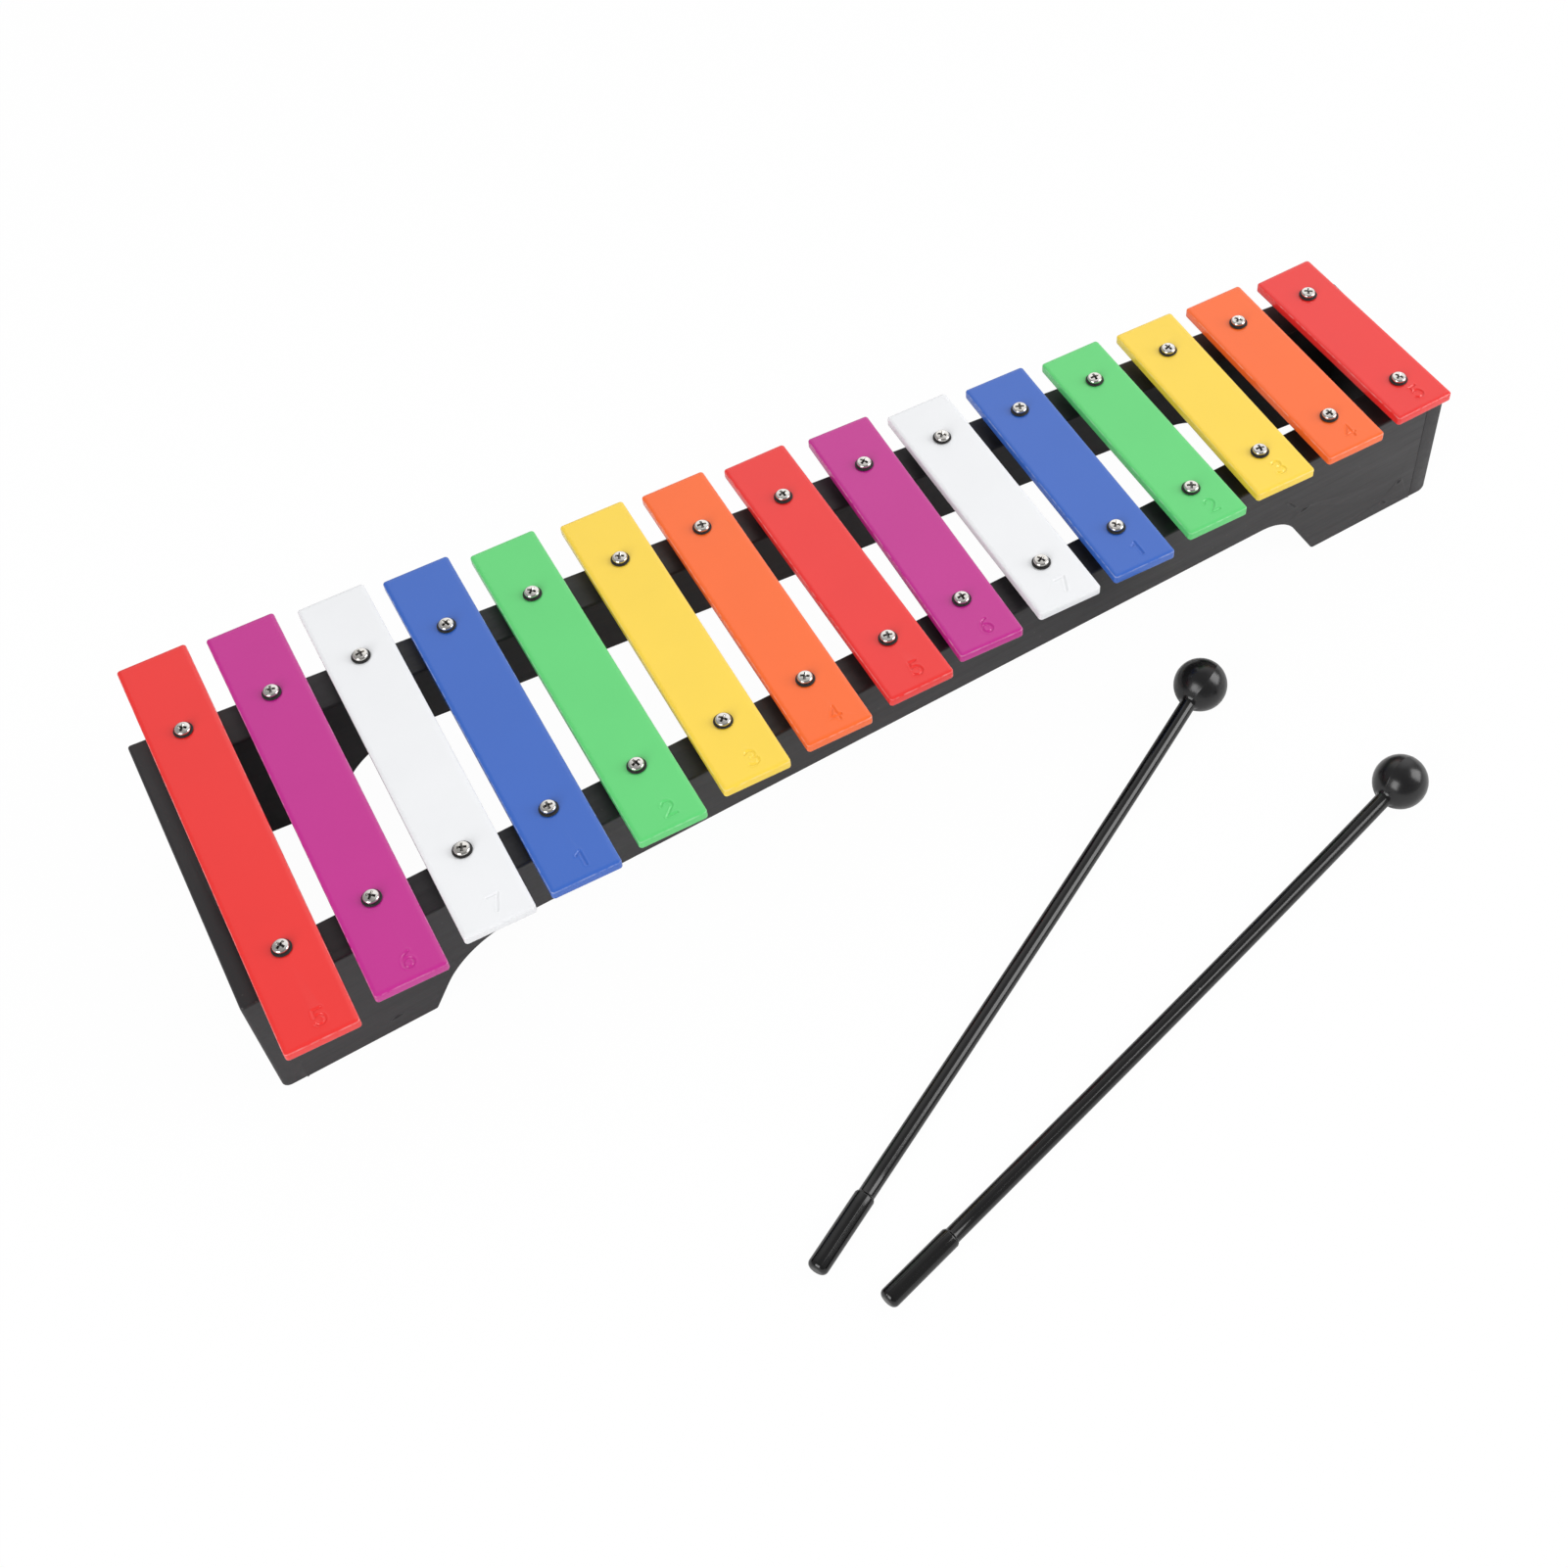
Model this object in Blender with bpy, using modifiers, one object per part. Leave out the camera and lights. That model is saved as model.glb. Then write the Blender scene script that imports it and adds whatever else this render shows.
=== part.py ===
# Xylophone: fifteen enamelled steel bars screwed to a tapered wooden frame, with its two mallets.
# Metres, +Z up, floor at z = 0, players' side towards -Y, longest bar at -X.
import math

import bmesh
import bpy
from mathutils import Matrix

MM = 0.001
GAP = 0.3 * MM  # air left between pieces that touch

# Bars: flat strip, cut to length by pitch
BAR_WIDTH = 20 * MM
BAR_THICKNESS = 3 * MM
BAR_PITCH = 25.72 * MM
BAR_EDGE = 0.6 * MM
LONGEST_BAR = 140.5 * MM
SCALE_STEPS = (2, 2, 1, 2, 2, 1, 2) * 2  # semitones from each bar to the next, over two octaves
BAR_TRIM = (-1.8, 0, 0, -0.3, 0, 0.2, 0, 0.8, 1, 0.4, 0, -0.4, 0.5, 0.4, 0)  # mm left or filed off in tuning
BAR_COLOURS = {
    "red": (241, 76, 76),
    "purple": (199, 74, 152),
    "white": (242, 243, 245),
    "blue": (81, 116, 199),
    "green": (114, 217, 133),
    "yellow": (255, 220, 94),
    "orange": (255, 121, 75),
}

# Frame: two rails that draw together towards the short bars, nailed between two end boards
FRAME_LENGTH = 390.2 * MM
FRAME_HEIGHT = 43 * MM
RAIL_THICKNESS = 13.5 * MM
RAIL_OUTER = 38.3 * MM  # centre line to a rail's outer face, at mid length
RAIL_TAPER = 0.049  # sideways run of a rail for each metre of length
SCREW_INSET = 7.4 * MM  # a rail's outer face to its row of screws
END_BOARD = 6.6 * MM
ARCH_HEIGHT = 21.6 * MM
ARCH_LOW = -150 * MM  # the arch's feet, and the arcs that round its two shoulders
ARCH_HIGH = 150 * MM
ARCH_FLANK = math.radians(58.5)
SHOULDER_LOW = 28 * MM
SHOULDER_HIGH = 16 * MM
FOOT_ROUND = 2.5 * MM
WOOD_EDGE = 0.7 * MM

# Screw with its rubber grommet: a foot under the bar, a neck through it and a lip above it
GROMMET_FOOT = 3.8 * MM
GROMMET_FOOT_RADIUS = 4 * MM
NECK_RADIUS = 2 * MM
HOLE_RADIUS = 2.35 * MM
LIP_RADIUS = 2.65 * MM
LIP_THICKNESS = 0.3 * MM
BAR_PLAY = 0.4 * MM  # free height between a resting bar and the lip
HEAD_RADIUS = 2.1 * MM
HEAD_HEIGHT = 1.2 * MM
SHANK_RADIUS = 1.1 * MM
SHANK_DEPTH = 14 * MM
PILOT_RADIUS = 1.5 * MM
RECESS_SPAN = 2.7 * MM
RECESS_WIDTH = 0.7 * MM
RECESS_DEPTH = 0.8 * MM

# Nails through the end boards into the rails
NAIL_RADIUS = 0.7 * MM
NAIL_LENGTH = 24 * MM
NAIL_HEAD_RADIUS = 1.3 * MM
NAIL_HEAD = 0.8 * MM
NAIL_SUNK = 0.5 * MM
NAIL_HEIGHTS = (9 * MM, 22 * MM)

# Mallets: ball, stick and grip moulded in one
BALL_RADIUS = 8 * MM
STICK_RADIUS = 2.35 * MM
GRIP_RADIUS = 2.9 * MM
GRIP_LENGTH = 23.4 * MM
GRIP_CHAMFER = 0.6 * MM
MALLET_REACH = 209.3 * MM  # ball centre to the grip's end
MALLETS = {  # ball centre from the frame's middle, and the heading of the stick
    "mallet_rear": (86.4 * MM, -63 * MM, math.radians(29.17)),
    "mallet_front": (115.8 * MM, -120.8 * MM, math.radians(16.78)),
}

FRAME_Y = 57.1 * MM  # the frame's middle, towards +Y from the whole set's middle
BAR_BASE = FRAME_HEIGHT + GROMMET_FOOT
BAR_TOP = BAR_BASE + BAR_THICKNESS


def linear(rgb):
    def channel(c):
        c /= 255
        return c / 12.92 if c <= 0.04045 else ((c + 0.055) / 1.055) ** 2.4

    return (*(channel(c) for c in rgb), 1)


def material(name, rgb, roughness, metallic=0):
    mat = bpy.data.materials.new(name)
    mat.use_nodes = True
    shader = mat.node_tree.nodes["Principled BSDF"]
    shader.inputs["Base Color"].default_value = linear(rgb)
    shader.inputs["Roughness"].default_value = roughness
    shader.inputs["Metallic"].default_value = metallic
    return mat


def collection(name):
    new = bpy.data.collections.new(name)
    bpy.context.scene.collection.children.link(new)
    return new


def add(name, mesh, mat=None, parent=None, location=(0, 0, 0)):
    obj = bpy.data.objects.new(name, mesh)
    if mat:
        mesh.materials.clear()
        mesh.materials.append(mat)
        PARTS.objects.link(obj)
    else:
        CUTTERS.objects.link(obj)
        obj.hide_render = True
        obj.display_type = "WIRE"
    obj.parent = parent
    obj.location = location
    return obj


def mesh_from(name, bm):
    mesh = bpy.data.meshes.new(name)
    bm.to_mesh(mesh)
    bm.free()
    return mesh


def evaluated(obj):
    mesh = bpy.data.meshes.new_from_object(obj.evaluated_get(bpy.context.evaluated_depsgraph_get()))
    bpy.data.objects.remove(obj)
    return mesh


def plate(name, outline, half):
    """Closed outline in X and Z, given its thickness along Y."""
    curve = bpy.data.curves.new(name, "CURVE")
    curve.dimensions = "2D"
    curve.fill_mode = "BOTH"
    curve.extrude = half
    spline = curve.splines.new("POLY")
    spline.points.add(len(outline) - 1)
    for point, (x, z) in zip(spline.points, outline):
        point.co = (x, z, 0, 1)
    spline.use_cyclic_u = True
    obj = bpy.data.objects.new(name, curve)
    bpy.context.scene.collection.objects.link(obj)
    bm = bmesh.new()
    bm.from_mesh(evaluated(obj))
    bmesh.ops.remove_doubles(bm, verts=bm.verts, dist=0.01 * MM)
    bmesh.ops.rotate(bm, verts=bm.verts, matrix=Matrix.Rotation(math.pi / 2, 3, "X"))
    bmesh.ops.recalc_face_normals(bm, faces=bm.faces)
    return mesh_from(name, bm)


def turned(name, profile, steps):
    """Profile of (radius, z) from the top down, turned about Z."""
    mesh = bpy.data.meshes.new(name)
    mesh.from_pydata([(r, 0, z) for r, z in profile], [(i, i + 1) for i in range(len(profile) - 1)], [])
    obj = bpy.data.objects.new(name, mesh)
    bpy.context.scene.collection.objects.link(obj)
    screw = obj.modifiers.new("turn", "SCREW")
    screw.steps = screw.render_steps = steps
    screw.use_merge_vertices = True
    screw.merge_threshold = 0.001 * MM
    solid = evaluated(obj)
    smooth(solid, 40)
    return solid


def smooth(mesh, degrees):
    mesh.shade_smooth()
    mesh.set_sharp_from_angle(angle=math.radians(degrees))


def drill(name, spots, radius, depth, sides=8, turn=Matrix()):
    """One cutter of cylinders, each centred on its spot."""
    bm = bmesh.new()
    for spot in spots:
        bmesh.ops.create_cone(
            bm, cap_ends=True, segments=sides, radius1=radius, radius2=radius, depth=depth,
            matrix=Matrix.Translation(spot) @ turn,
        )
    return mesh_from(name, bm)


def soften(obj, width, segments=2):
    bevel = obj.modifiers.new("soft edges", "BEVEL")
    bevel.width = width
    bevel.segments = segments
    bevel.limit_method = "ANGLE"
    bevel.angle_limit = math.radians(35)


def cut(obj, cutter):
    boolean = obj.modifiers.new(cutter.name, "BOOLEAN")
    boolean.operation = "DIFFERENCE"
    boolean.object = cutter


def arc(x, z, radius, start, end, count):
    for i in range(count + 1):
        a = start + (end - start) * i / count
        yield x + radius * math.cos(a), z + radius * math.sin(a)


def outer_face(x):
    return RAIL_OUTER - RAIL_TAPER * x


def rail_middle(x):
    return outer_face(x) - RAIL_THICKNESS / 2


def screw_line(x):
    return outer_face(x) - SCREW_INSET


def bar_x(i):
    return (i - len(SCALE_STEPS) / 2) * BAR_PITCH


def rail_outline():
    end = FRAME_LENGTH / 2 - END_BOARD - GAP
    lift_high = ARCH_HEIGHT - SHOULDER_HIGH * (1 - math.cos(ARCH_FLANK))
    lift_low = ARCH_HEIGHT - SHOULDER_LOW * (1 - math.cos(ARCH_FLANK))
    high = ARCH_HIGH - lift_high / math.tan(ARCH_FLANK) - SHOULDER_HIGH * math.sin(ARCH_FLANK)
    low = ARCH_LOW + lift_low / math.tan(ARCH_FLANK) + SHOULDER_LOW * math.sin(ARCH_FLANK)
    flank = math.pi / 2 - ARCH_FLANK
    return [
        (-end, 0), (-end, FRAME_HEIGHT), (end, FRAME_HEIGHT), (end, 0), (ARCH_HIGH, 0),
        *arc(high, ARCH_HEIGHT - SHOULDER_HIGH, SHOULDER_HIGH, flank, math.pi / 2, 6),
        *arc(low, ARCH_HEIGHT - SHOULDER_LOW, SHOULDER_LOW, math.pi / 2, math.pi - flank, 6),
        (ARCH_LOW, 0),
    ]


def make_rail(name, side, parent, mat):
    mesh = plate(name, rail_outline(), RAIL_THICKNESS / 2)
    slant = Matrix.Identity(4)
    slant[1][0] = -side * RAIL_TAPER
    mesh.transform(slant)
    middle = rail_middle(0)
    rail = add(name, mesh, mat, parent, (0, side * middle, 0))
    soften(rail, WOOD_EDGE)
    places = [bar_x(i) for i in range(len(SCALE_STEPS) + 1)]
    pilots = [(x, side * (screw_line(x) - middle), FRAME_HEIGHT) for x in places]
    depth = SHANK_DEPTH + 1 * MM
    cut(rail, add(name + "_pilots", drill("pilots", pilots, PILOT_RADIUS, 2 * depth), None, rail))
    cut(rail, add(name + "_nail_holes", nail_holes(side, middle), None, rail))


def nail_spots(side, away=0):
    """Ends of the nails' heads along one rail, in the frame's own X, Y and Z."""
    for end in (-1, 1):
        x = end * (FRAME_LENGTH / 2 - NAIL_SUNK)
        for z in NAIL_HEIGHTS:
            yield x, side * (rail_middle(end * FRAME_LENGTH / 2) - away), z


def nail_holes(side, away=0):
    turn = Matrix.Rotation(math.pi / 2, 4, "Y")
    spots = list(nail_spots(side, away))
    return drill("nail_holes", spots, NAIL_RADIUS + GAP, 2 * (NAIL_LENGTH + GAP), turn=turn)


def make_end_board(name, end, parent, mat):
    edge = FRAME_LENGTH / 2
    inner = edge - END_BOARD
    outline = [
        (inner, 0), *arc(edge - FOOT_ROUND, FOOT_ROUND, FOOT_ROUND, -math.pi / 2, 0, 4),
        (edge, FRAME_HEIGHT), (inner, FRAME_HEIGHT),
    ]
    mesh = plate(name, [(end * x, z) for x, z in outline][::end], 1)
    for vertex in mesh.vertices:
        vertex.co.y *= outer_face(vertex.co.x)
    board = add(name, mesh, mat, parent)
    soften(board, WOOD_EDGE)
    turn = Matrix.Rotation(math.pi / 2, 4, "Y")
    heads = [s for side in (-1, 1) for s in nail_spots(side) if s[0] * end > 0]
    shanks = drill("shanks", heads, NAIL_RADIUS + GAP, 4 * END_BOARD, turn=turn)
    sinks = drill("sinks", heads, NAIL_HEAD_RADIUS + GAP, 2 * (NAIL_HEAD + GAP), turn=turn)
    cut(board, add(name + "_shanks", shanks, None, board))
    cut(board, add(name + "_sinks", sinks, None, board))


def make_nails(parent, mat):
    profile = [
        (0, 0), (NAIL_HEAD_RADIUS, 0), (NAIL_HEAD_RADIUS, -NAIL_HEAD * 0.5), (NAIL_RADIUS, -NAIL_HEAD),
        (NAIL_RADIUS, 2 * MM - NAIL_LENGTH), (0, -NAIL_LENGTH),
    ]
    mesh = turned("nail", profile, 6)
    for side, place in ((-1, "front"), (1, "back")):
        for (x, y, z), spot in zip(nail_spots(side), ("left_low", "left_high", "right_low", "right_high")):
            nail = add(f"nail_{place}_{spot}", mesh, mat, parent, (x, y, z))
            nail.rotation_euler.y = math.copysign(math.pi / 2, x)


def make_bar(i, length, mat, parent):
    bm = bmesh.new()
    bmesh.ops.create_cube(bm, size=1, matrix=Matrix.Diagonal((BAR_WIDTH, length, BAR_THICKNESS, 1)))
    x = bar_x(i)
    bar = add(f"bar_{i + 1:02d}", mesh_from("bar", bm), mat, parent, (x, 0, BAR_BASE + BAR_THICKNESS / 2))
    soften(bar, BAR_EDGE)
    spots = [(0, side * screw_line(x), 0) for side in (-1, 1)]
    holes = drill("holes", spots, HOLE_RADIUS, 3 * BAR_THICKNESS, 12)
    cut(bar, add(f"bar_{i + 1:02d}_holes", holes, None, bar))


def screw_mesh():
    """Screw and grommet about the rail's top face, with a cross recess in the head."""
    lip = GROMMET_FOOT + BAR_THICKNESS + BAR_PLAY
    head = lip + LIP_THICKNESS
    top = head + HEAD_HEIGHT
    profile = [
        (0, top), (HEAD_RADIUS * 0.65, top - HEAD_HEIGHT * 0.15), (HEAD_RADIUS, top - HEAD_HEIGHT * 0.55),
        (HEAD_RADIUS, head), (LIP_RADIUS, head - LIP_THICKNESS * 0.7), (NECK_RADIUS, lip),
        (NECK_RADIUS, GROMMET_FOOT - GAP), (GROMMET_FOOT_RADIUS, GROMMET_FOOT - GAP),
        (GROMMET_FOOT_RADIUS, GAP), (SHANK_RADIUS, GAP), (SHANK_RADIUS, 3 * MM - SHANK_DEPTH),
        (0, -SHANK_DEPTH),
    ]
    body = add("screw_body", turned("screw", profile, 8))
    long, wide = RECESS_SPAN / 2, RECESS_WIDTH / 2
    cross = [(wide, wide), (wide, long), (-wide, long), (-wide, wide), (-long, wide), (-long, -wide),
             (-wide, -wide), (-wide, -long), (wide, -long), (wide, -wide), (long, -wide), (long, wide)]
    recess = plate("recess", cross, RECESS_DEPTH)
    recess.transform(Matrix.Rotation(math.pi / 2, 4, "X"))
    recess.transform(Matrix.Translation((0, 0, top)) @ Matrix.Rotation(math.radians(12), 4, "Z"))
    cutter = add("screw_recess", recess)
    cut(body, cutter)
    mesh = evaluated(body)
    bpy.data.objects.remove(cutter)
    smooth(mesh, 40)
    return mesh


def make_screws(parent, mat):
    mesh = screw_mesh()
    for side, place in ((-1, "front"), (1, "back")):
        for i in range(len(SCALE_STEPS) + 1):
            x = bar_x(i)
            spot = (x, side * screw_line(x), FRAME_HEIGHT)
            screw = add(f"screw_{place}_{i + 1:02d}", mesh, mat, parent, spot)
            screw.rotation_euler.z = 1.9 * i + side  # heads stop at any angle


def make_mallets(mat):
    neck = -math.acos(STICK_RADIUS / BALL_RADIUS)
    grip = GRIP_LENGTH - MALLET_REACH
    profile = [
        (0, BALL_RADIUS), *list(arc(0, 0, BALL_RADIUS, math.pi / 2, neck, 9))[1:],
        (STICK_RADIUS, grip), (GRIP_RADIUS - GRIP_CHAMFER, grip), (GRIP_RADIUS, grip - GRIP_CHAMFER),
        *arc(GRIP_RADIUS - 1.5 * MM, 1.5 * MM - MALLET_REACH, 1.5 * MM, 0, -math.pi / 2, 3),
        (0, -MALLET_REACH),
    ]
    mesh = turned("mallet", profile, 16)
    dip = math.asin((BALL_RADIUS - GRIP_RADIUS) / MALLET_REACH)
    for name, (x, y, heading) in MALLETS.items():
        mallet = add(name, mesh, mat, None, (x, y + FRAME_Y, BALL_RADIUS))
        mallet.rotation_euler = (0, math.pi / 2 - dip, heading)


for old in list(bpy.data.objects):
    bpy.data.objects.remove(old)
PARTS = collection("xylophone")
CUTTERS = collection("cutters")

frame = bpy.data.objects.new("frame", None)
PARTS.objects.link(frame)
frame.location.y = FRAME_Y

wood = material("black_painted_wood", (66, 65, 68), 0.55)
make_rail("rail_front", -1, frame, wood)
make_rail("rail_back", 1, frame, wood)
make_end_board("end_board_left", -1, frame, wood)
make_end_board("end_board_right", 1, frame, wood)
make_nails(frame, material("bright_nail", (170, 170, 172), 0.4, 1))

enamels = [material("enamel_" + name, rgb, 0.35) for name, rgb in BAR_COLOURS.items()]
semitones = 0
for index in range(len(SCALE_STEPS) + 1):
    # A free bar's pitch goes with one over its length squared
    length = LONGEST_BAR * 2 ** (-semitones / 24) + BAR_TRIM[index] * MM
    make_bar(index, length, enamels[index % len(enamels)], frame)
    semitones += SCALE_STEPS[index % len(SCALE_STEPS)]
make_screws(frame, material("nickel_screw", (205, 203, 200), 0.2, 1))
make_mallets(material("black_plastic", (24, 23, 25), 0.25))
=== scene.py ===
import itertools
import math

import bmesh
import bpy
import numpy as np
from mathutils import Matrix, Vector


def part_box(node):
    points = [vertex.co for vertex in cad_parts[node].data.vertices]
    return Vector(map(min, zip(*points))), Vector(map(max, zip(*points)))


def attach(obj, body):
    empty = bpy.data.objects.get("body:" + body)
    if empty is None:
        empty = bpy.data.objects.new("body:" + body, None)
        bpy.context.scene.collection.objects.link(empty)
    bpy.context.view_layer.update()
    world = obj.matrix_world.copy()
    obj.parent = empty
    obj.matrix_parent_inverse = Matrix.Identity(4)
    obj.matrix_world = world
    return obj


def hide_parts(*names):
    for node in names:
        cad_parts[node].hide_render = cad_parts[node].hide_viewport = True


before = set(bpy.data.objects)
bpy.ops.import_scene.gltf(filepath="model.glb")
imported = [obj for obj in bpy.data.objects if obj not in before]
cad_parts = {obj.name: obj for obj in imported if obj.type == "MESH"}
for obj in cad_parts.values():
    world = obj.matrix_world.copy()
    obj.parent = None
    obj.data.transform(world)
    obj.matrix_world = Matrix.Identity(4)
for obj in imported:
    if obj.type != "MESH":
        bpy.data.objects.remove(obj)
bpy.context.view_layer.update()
mm = 0.001
print("frame loaded:", len(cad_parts), "solids")


# shader helpers


def setInputs(tree, node, inputs):
    for name, value in inputs.items():
        if isinstance(value, bpy.types.NodeSocket):
            tree.links.new(value, node.inputs[name])
        else:
            node.inputs[name].default_value = value


def addNode(tree, kind, inputs=None, **settings):
    node = tree.nodes.new(kind)
    for name, value in settings.items():
        setattr(node, name, value)
    setInputs(tree, node, inputs or {})
    return node


def calc(tree, operation, *values):
    return addNode(tree, "ShaderNodeMath", dict(enumerate(values)), operation=operation).outputs[0]


def objectPoint(tree):
    return addNode(tree, "ShaderNodeTexCoord").outputs["Object"]


def noise(tree, place=None, **inputs):
    inputs["Vector"] = objectPoint(tree) if place is None else place
    return addNode(tree, "ShaderNodeTexNoise", inputs).outputs[0]


def mapRange(tree, value, given=(0, 1), wanted=(0, 1), **settings):
    limits = {"From Min": given[0], "From Max": given[1], "To Min": wanted[0], "To Max": wanted[1]}
    return addNode(tree, "ShaderNodeMapRange", {"Value": value, **limits}, **settings).outputs[0]


def marked(tree, name):
    # a value that the mesh holds at its points
    return addNode(tree, "ShaderNodeAttribute", attribute_name=name).outputs["Fac"]


def mixColour(tree, factor, first, second):
    return addNode(tree, "ShaderNodeMix", {0: factor, 6: first, 7: second}, data_type="RGBA").outputs[2]


def bump(tree, height, **inputs):
    return addNode(tree, "ShaderNodeBump", {"Height": height, **inputs}).outputs[0]


# effects that several finishes share

socketKinds = {"Colour": "NodeSocketColor", "Stretch": "NodeSocketVector"}  # the others hold one number


def newGroup(name, inputs, output):
    tree = bpy.data.node_groups.new(name, "ShaderNodeTree")

    def addSocket(label, way):
        kind = socketKinds.get(label, "NodeSocketFloat")
        return tree.interface.new_socket(label, in_out=way, socket_type=kind)

    for label, value in inputs.items():
        addSocket(label, "INPUT").default_value = value
    addSocket(output, "OUTPUT")
    return tree, tree.nodes.new("NodeGroupInput").outputs, tree.nodes.new("NodeGroupOutput").inputs


def useGroup(tree, group, **inputs):
    return addNode(tree, "ShaderNodeGroup", inputs, node_tree=group).outputs[0]


def colourDriftGroup():
    # slow patches a little lighter and darker than the colour itself
    tree, given, out = newGroup(
        "colour drift", {"Colour": (1, 1, 1, 1), "Scale": 40.0, "Amount": 0.05}, "Colour"
    )
    centred = calc(tree, "SUBTRACT", noise(tree, Scale=given["Scale"], Detail=3.0), 0.5)
    swing = calc(tree, "MULTIPLY_ADD", centred, given["Amount"], 1.0)
    shade = addNode(tree, "ShaderNodeHueSaturation", {"Value": swing, "Color": given["Colour"]})
    tree.links.new(shade.outputs[0], out[0])
    return tree


def orangePeelGroup():
    # the low waves of a sprayed coat, with a finer ripple on them
    finer, rippleShare = 3.7, 0.3
    tree, given, out = newGroup("orange peel", {"Scale": 500.0}, "Height")
    place = objectPoint(tree)
    wave = noise(tree, place, Scale=given["Scale"], Detail=1.0)
    ripple = noise(tree, place, Scale=calc(tree, "MULTIPLY", given["Scale"], finer), Detail=1.0)
    tree.links.new(calc(tree, "MULTIPLY_ADD", ripple, rippleShare, wave), out[0])
    return tree


def woodStreakGroup():
    # grain that shows through paint, drawn out along the board
    tree, given, out = newGroup("wood streaks", {"Stretch": (1, 1, 1), "Scale": 300.0}, "Height")
    place = objectPoint(tree)
    drawn = addNode(tree, "ShaderNodeVectorMath", {0: place, 1: given["Stretch"]}, operation="MULTIPLY")
    fibre = noise(tree, drawn.outputs[0], Scale=given["Scale"], Detail=4.0, Roughness=0.65)
    tree.links.new(fibre, out[0])
    return tree


def dustGroup():
    # round specks, each in a cell of its own; most cells stay empty
    emptyShare = 0.86
    tree, given, out = newGroup("dust", {"Scale": 300.0, "Size": 0.12}, "Specks")
    place = objectPoint(tree)
    cells = addNode(tree, "ShaderNodeTexVoronoi", {"Vector": place, "Scale": given["Scale"]}).outputs
    tint = addNode(tree, "ShaderNodeSeparateColor", {"Color": cells["Color"]})
    few = calc(tree, "GREATER_THAN", tint.outputs[0], emptyShare)
    near = calc(tree, "LESS_THAN", cells["Distance"], given["Size"])
    tree.links.new(calc(tree, "MULTIPLY", few, near), out[0])
    return tree


def rimMarksGroup():
    # broken-up marks on the rounded edges, which the meshes mark in "rim": rubbing on the wood and plastic, a
    # lighter line on the enamel
    breaks = (0.34, 0.62)
    tree, given, out = newGroup("rim marks", {"Scale": 250.0, "Amount": 0.5}, "Wear")
    broken = mapRange(tree, noise(tree, Scale=given["Scale"], Detail=3.0), breaks)
    worn = calc(tree, "MULTIPLY", marked(tree, "rim"), broken)
    tree.links.new(calc(tree, "MULTIPLY", worn, given["Amount"]), out[0])
    return tree


colourDrift = colourDriftGroup()
orangePeel = orangePeelGroup()
woodStreaks = woodStreakGroup()
dust = dustGroup()
rimMarks = rimMarksGroup()


# finishes: "plain" holds what is the same all over, and "roughness" its lowest and highest


def newMaterial(name):
    material = bpy.data.materials.new(name)
    material.use_nodes = True
    return material, material.node_tree, material.node_tree.nodes["Principled BSDF"]


def coat(tree, shader, finish, colour, rough, relief):
    normal = bump(tree, relief, **finish["bump"])
    setInputs(tree, shader, {"Base Color": colour, "Roughness": rough, "Normal": normal, **finish["plain"]})


enamel = {
    "colours": {  # as they are under plain light, without their gloss
        "red": (0.8138, 0.031, 0.0278),
        "purple": (0.5223, 0.0211, 0.264),
        "white": (0.8346, 0.8434, 0.8598),
        "blue": (0.0385, 0.1297, 0.5144),
        "green": (0.1176, 0.6357, 0.181),
        "yellow": (0.935, 0.6534, 0.0635),
        "orange": (0.935, 0.1471, 0.0243),
    },
    "plain": {"IOR": 1.5},
    "drift": {"Scale": 55.0, "Amount": 0.06},
    "wear": {"Scale": 420.0, "Amount": 0.6},
    "edgeLine": 0.8,  # pale, and this much of it is mixed in as a lighter line along the rounded edges
    "edgeLineShare": 0.35,
    "haze": {"Scale": 90.0, "Detail": 4.0},
    "roughness": (0.17, 0.27),
    "peel": {"Scale": 620.0},
    "bump": {"Strength": 0.1, "Distance": 0.06 * mm},
}


def enamelMaterial(name, colour):
    material, tree, shader = newMaterial("enamel " + name)
    drifted = useGroup(tree, colourDrift, Colour=(*colour, 1), **enamel["drift"])
    # a lighter line along the rounded edges, broken up by noise
    wear = useGroup(tree, rimMarks, **enamel["wear"])
    edgeLineColour = tuple(c + (enamel["edgeLine"] - c) * enamel["edgeLineShare"] for c in colour)
    worn = mixColour(tree, wear, drifted, (*edgeLineColour, 1))
    rough = mapRange(tree, noise(tree, **enamel["haze"]), wanted=enamel["roughness"])
    coat(tree, shader, enamel, worn, rough, useGroup(tree, orangePeel, **enamel["peel"]))
    return material


woodPaint = {
    "plain": {"IOR": 1.5},
    "colour": (0.018, 0.0168, 0.0185, 1),
    "rubbed": (0.035, 0.033, 0.034, 1),
    "dusty": (0.038, 0.037, 0.036, 1),
    "drift": {"Scale": 35.0, "Amount": 0.35},
    "wear": {"Scale": 300.0, "Amount": 0.45},
    "dust": {"Scale": 420.0, "Size": 0.13},
    "alongGrain": 0.05,  # the streaks' scale along the board, as a share of that across it
    "streaks": {"Scale": 420.0},
    "roughness": (0.3, 0.6),
    "bump": {"Strength": 0.34, "Distance": 0.16 * mm},
}


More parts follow.
